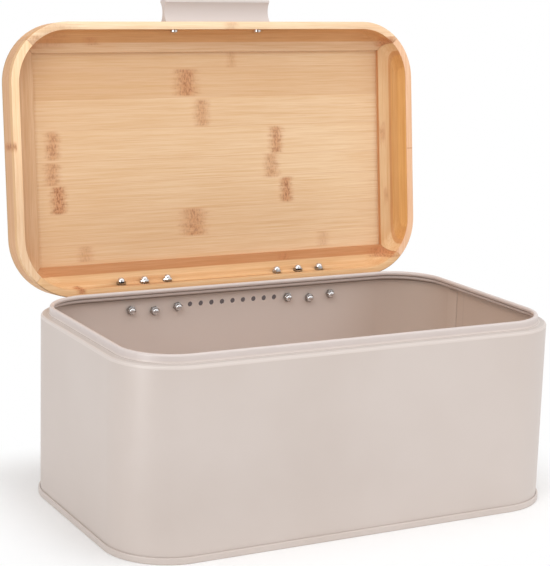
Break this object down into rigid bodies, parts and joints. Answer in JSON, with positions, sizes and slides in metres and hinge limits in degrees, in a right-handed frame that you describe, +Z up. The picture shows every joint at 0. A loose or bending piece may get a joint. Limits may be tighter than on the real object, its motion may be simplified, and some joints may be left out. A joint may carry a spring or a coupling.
{
  "type": "bread box",
  "caption": "Bread box with a rounded rectangular sheet metal tub, a rolled base seam, vent holes and a framed wooden lid that swings on rear hinges.",
  "frame": {"origin": "on the ground, below the middle of the box's bounding box with its lid open", "axes": "+X to the right seen from the front, +Y to the back where the hinges are, +Z up"},
  "size_m": [0.4236, 0.3164, 0.4333],
  "materials": {
    "painted_steel": "matte beige powder coat",
    "bamboo_frame": "clear satin lacquer on bamboo",
    "bamboo_panel": "clear satin lacquer on glued bamboo strips",
    "plated_steel": "bright nickel plating"
  },
  "bodies": {
    "box": {"body_wall": "painted_steel", "base_pan": "painted_steel", "hinge_left_body_leaf": "plated_steel", "hinge_left_pin": "plated_steel", "hinge_left_body_screw_1": "plated_steel", "hinge_left_body_nut_1": "plated_steel", "hinge_left_body_screw_2": "plated_steel", "hinge_left_body_nut_2": "plated_steel", "hinge_left_body_screw_3": "plated_steel", "hinge_left_body_nut_3": "plated_steel", "hinge_right_body_leaf": "plated_steel", "hinge_right_pin": "plated_steel", "hinge_right_body_screw_1": "plated_steel", "hinge_right_body_nut_1": "plated_steel", "hinge_right_body_screw_2": "plated_steel", "hinge_right_body_nut_2": "plated_steel", "hinge_right_body_screw_3": "plated_steel", "hinge_right_body_nut_3": "plated_steel"},
    "lid": {"lid_rail_front": "bamboo_frame", "lid_rail_rear": "bamboo_frame", "lid_rail_left": "bamboo_frame", "lid_rail_right": "bamboo_frame", "lid_panel": "bamboo_panel", "lid_handle": "painted_steel", "handle_screw_left": "plated_steel", "handle_screw_right": "plated_steel", "hinge_left_lid_leaf": "plated_steel", "hinge_left_lid_screw_1": "plated_steel", "hinge_left_lid_nut_1": "plated_steel", "hinge_left_lid_screw_2": "plated_steel", "hinge_left_lid_nut_2": "plated_steel", "hinge_left_lid_screw_3": "plated_steel", "hinge_left_lid_nut_3": "plated_steel", "hinge_right_lid_leaf": "plated_steel", "hinge_right_lid_screw_1": "plated_steel", "hinge_right_lid_nut_1": "plated_steel", "hinge_right_lid_screw_2": "plated_steel", "hinge_right_lid_nut_2": "plated_steel", "hinge_right_lid_screw_3": "plated_steel", "hinge_right_lid_nut_3": "plated_steel"}
  },
  "joints": [
    {"name": "lid_hinge", "type": "hinge", "parent": "box", "child": "lid", "pos_m": [0, 0.0976, 0.1615], "axis": [1, 0, 0], "range_deg": [0, 96.5]}
  ]
}
